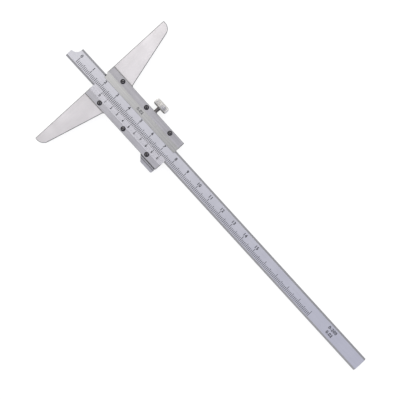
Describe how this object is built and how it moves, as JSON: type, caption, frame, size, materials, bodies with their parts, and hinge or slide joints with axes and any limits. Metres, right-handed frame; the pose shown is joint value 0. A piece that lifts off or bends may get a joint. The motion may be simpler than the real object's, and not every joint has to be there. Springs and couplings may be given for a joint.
{
  "type": "vernier depth gauge",
  "caption": "Vernier depth gauge: a graduated beam with a stepped tip slides through a winged base, with a vernier plate, a guide plate and a knurled lock screw.",
  "frame": {"origin": "middle of the base's measuring face, in the plane of the back that the gauge lies on", "axes": "+Y along the beam towards its measuring tip and square to the measuring face, +X across the beam towards the lock screw, +Z out of the graduated face"},
  "size_m": [0.1, 0.25, 0.0098],
  "materials": {
    "beam_steel": "matt satin-chromed steel",
    "base_steel": "fine-ground steel",
    "vernier_steel": "matt satin-chromed steel",
    "guide_steel": "matt satin-chromed steel",
    "blackened_screw": "blackened steel",
    "stud_steel": "oiled dark steel thread",
    "knob_steel": "satin nickelled steel, straight knurl",
    "spring_steel": "rolled spring steel",
    "pad_brass": "turned brass"
  },
  "bodies": {
    "base": {"base_frame": "base_steel", "vernier_plate": "vernier_steel", "guide_plate": "guide_steel", "vernier_plate_screw_1": "blackened_screw", "vernier_plate_screw_2": "blackened_screw", "vernier_plate_screw_3": "blackened_screw", "guide_plate_screw_1": "blackened_screw", "guide_plate_screw_2": "blackened_screw", "guide_plate_screw_3": "blackened_screw", "leaf_spring": "spring_steel"},
    "beam": {"beam": "beam_steel"},
    "lock_feed": {"lock_pad": "pad_brass"},
    "lock_screw": {"lock_stud": "stud_steel", "lock_knob": "knob_steel"}
  },
  "joints": [
    {"name": "beam_slide", "type": "slide", "parent": "base", "child": "beam", "axis": [0, 1, 0], "range_m": [-0.0232, 0.1768]},
    {"name": "lock_screw_feed", "type": "slide", "parent": "base", "child": "lock_feed", "axis": [1, 0, 0], "range_m": [0, 0.0009]},
    {"name": "lock_screw_turn", "type": "hinge", "parent": "lock_feed", "child": "lock_screw", "pos_m": [0.01615, -0.0352, 0.00505], "axis": [1, 0, 0], "range_deg": [0, 720.1]}
  ],
  "couplings": [
    {"joint": "lock_screw_turn", "follows": "lock_screw_feed", "rad_per_m": 13963}
  ]
}
